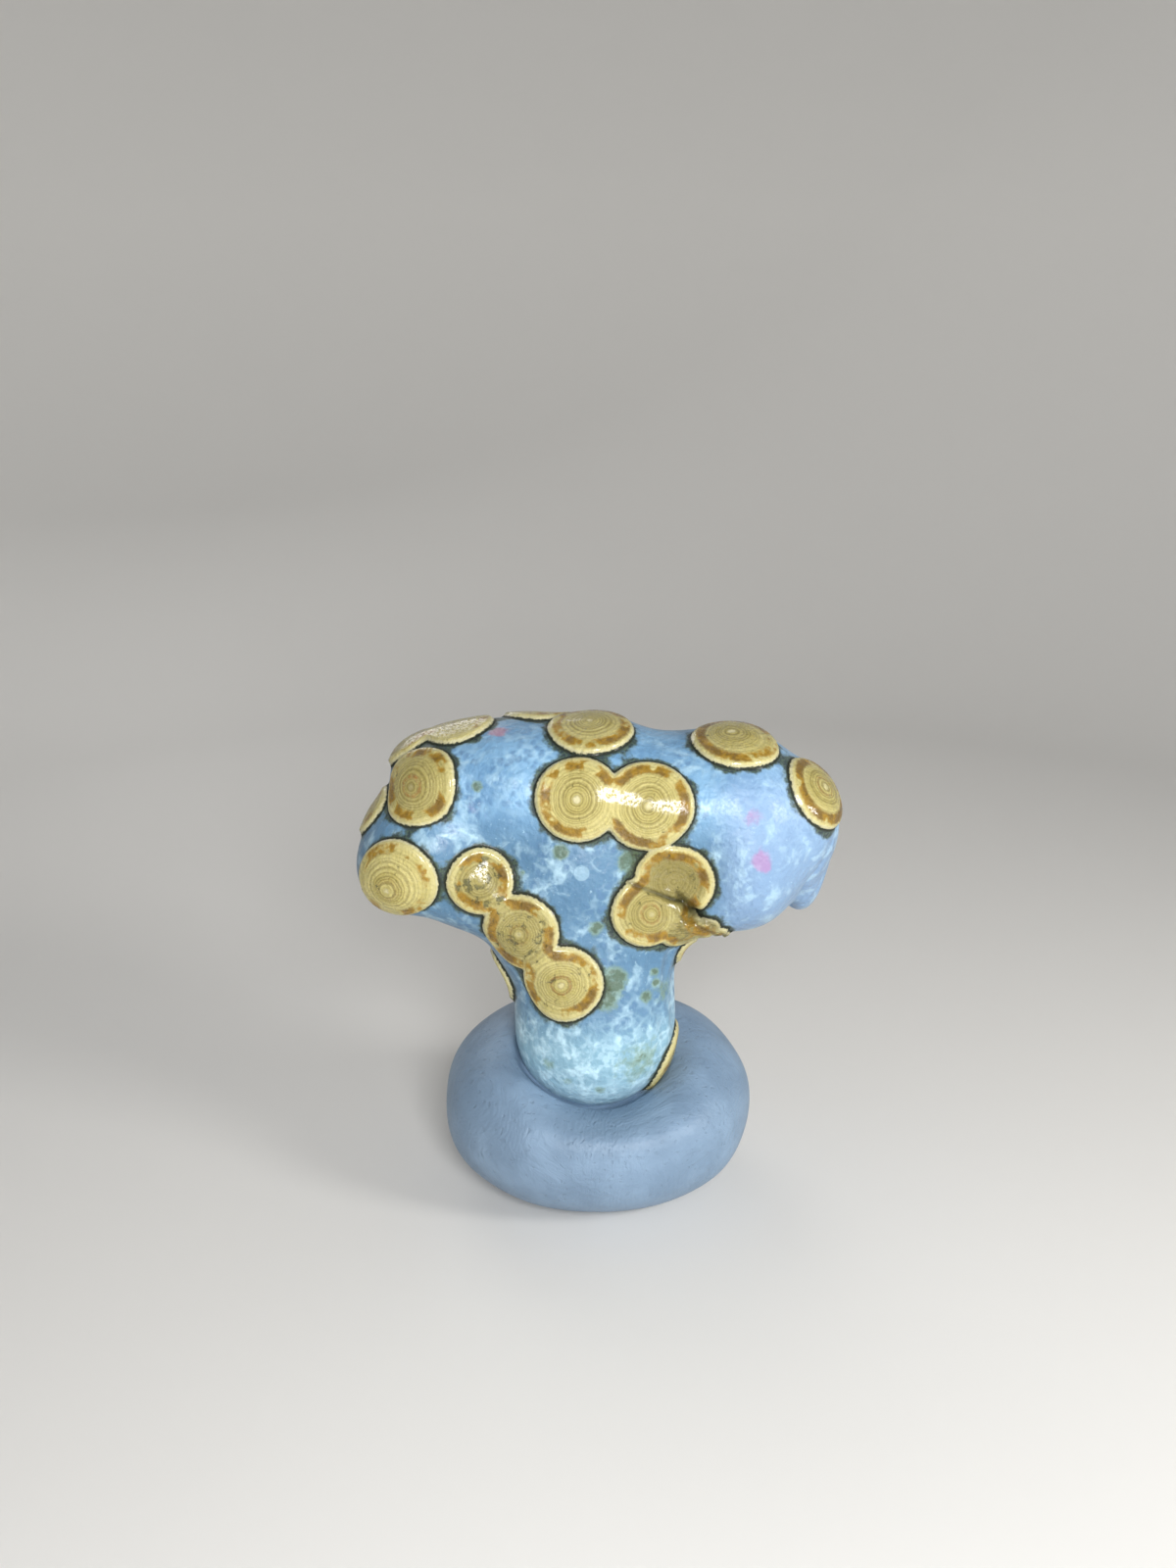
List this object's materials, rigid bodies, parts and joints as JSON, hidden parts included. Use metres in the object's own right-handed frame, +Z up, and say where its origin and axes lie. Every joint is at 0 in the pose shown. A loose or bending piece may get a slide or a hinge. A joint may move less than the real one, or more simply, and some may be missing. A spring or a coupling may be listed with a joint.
{
  "type": "eye agate in a putty lump",
  "caption": "Mushroom-shaped blue agate with raised round ring markings, standing in a lump of grey putty with a flat base.",
  "frame": {"origin": "middle of the putty lump's flat base", "axes": "+Z up along the stone's neck, +X along the stone's wide head to the right seen from the front, -Y towards the front"},
  "size_m": [0.0396, 0.024, 0.0409],
  "materials": {
    "agate": "waxy polished chalcedony, milky blue with straw-yellow ring markings",
    "putty": "matte blue-grey kneadable putty with faint fingerprint ridges"
  },
  "bodies": {
    "root": {"agate_stone": "agate", "putty_lump": "putty"}
  },
  "joints": []
}
